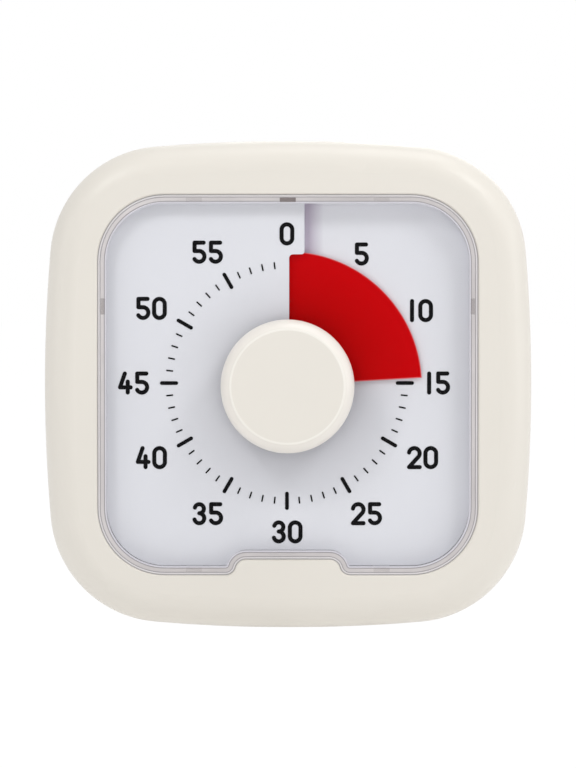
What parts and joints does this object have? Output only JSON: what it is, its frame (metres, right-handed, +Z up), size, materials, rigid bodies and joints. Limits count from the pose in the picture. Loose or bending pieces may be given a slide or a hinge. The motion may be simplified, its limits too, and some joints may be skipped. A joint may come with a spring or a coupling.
{
  "type": "visual countdown timer",
  "caption": "Square white visual countdown timer: red leaf winds out of a spiral dial behind a clear cover, turned by a round centre knob, with a fold-out stand.",
  "frame": {"origin": "bottom centre of the whole timer standing upright with the stand folded", "axes": "+X to the right seen from the front, +Y out of the back (the dial faces -Y), +Z up"},
  "size_m": [0.19, 0.054, 0.1898],
  "materials": {
    "casing": "satin",
    "clear": "gloss",
    "dial": "satin",
    "ink": "matte",
    "red": "satin",
    "knob": "satin",
    "inner_plastic": "matte",
    "gear_plastic": "satin",
    "steel": "satin",
    "iron": "satin",
    "copper": "gloss",
    "board": "satin",
    "black": "matte",
    "cell": "gloss",
    "brass": "satin"
  },
  "bodies": {
    "housing": {"front_frame": "casing", "rear_cover": "casing", "clear_cover": "clear", "dial": "dial", "dial_print": "ink", "carrier_plate": "inner_plastic", "carrier_screws": "steel", "case_screws": "steel", "stator": "iron", "coil": "copper", "coil_bobbin": "inner_plastic", "movement_tray": "inner_plastic", "movement_lid": "inner_plastic", "movement_screws": "steel", "battery": "cell", "contact_plus": "steel", "contact_minus": "steel", "circuit_board": "board", "board_screws": "steel", "timing_chip": "black", "crystal_can": "steel", "volume_switch": "black", "sounder": "brass"},
    "knob": {"knob": "knob", "spindle": "inner_plastic", "spindle_wheel": "gear_plastic", "clutch_spring": "steel", "spindle_clip": "steel"},
    "leaf": {"red_leaf": "red", "leaf_hub": "red"},
    "wheel_a": {"wheel_a": "gear_plastic", "arbor_a": "steel"},
    "wheel_b": {"wheel_b": "gear_plastic", "arbor_b": "steel"},
    "rotor": {"rotor_pinion": "gear_plastic", "rotor_magnet": "iron", "rotor_arbor": "steel"},
    "stand": {"stand": "casing"},
    "battery_door": {"battery_door": "casing"},
    "volume_slider": {"volume_slider": "black"}
  },
  "joints": [
    {"name": "knob_turn", "type": "hinge", "parent": "housing", "child": "knob", "pos_m": [0, 0, 0.09439], "axis": [0, 1, 0], "range_deg": [-86.64, 273.36]},
    {"name": "leaf_ride", "type": "slide", "parent": "knob", "child": "leaf", "axis": [0, -1, 0], "range_m": [-0.00087, 0.00273]},
    {"name": "wheel_a_turn", "type": "hinge", "parent": "housing", "child": "wheel_a", "pos_m": [0, 0.008, 0.10839], "axis": [0, 1, 0], "continuous": true},
    {"name": "wheel_b_turn", "type": "hinge", "parent": "housing", "child": "wheel_b", "pos_m": [0.01128, 0.008, 0.10429], "axis": [0, 1, 0], "continuous": true},
    {"name": "rotor_turn", "type": "hinge", "parent": "housing", "child": "rotor", "pos_m": [0.01418, 0.008, 0.09347], "axis": [0, 1, 0], "continuous": true},
    {"name": "stand_fold", "type": "hinge", "parent": "housing", "child": "stand", "pos_m": [0, 0.0251, 0.112], "axis": [1, 0, 0], "range_deg": [0, 25]},
    {"name": "battery_door_lift", "type": "slide", "parent": "housing", "child": "battery_door", "axis": [0, 1, 0], "range_m": [0, 0.01]},
    {"name": "volume_slide", "type": "slide", "parent": "housing", "child": "volume_slider", "axis": [0, 0, 1], "range_m": [0, 0.008]}
  ],
  "couplings": [
    {"joint": "leaf_ride", "follows": "knob_turn", "m_per_rad": 0.00057296},
    {"joint": "wheel_a_turn", "follows": "knob_turn", "ratio": -6},
    {"joint": "wheel_b_turn", "follows": "knob_turn", "ratio": 30},
    {"joint": "rotor_turn", "follows": "knob_turn", "ratio": -180}
  ]
}
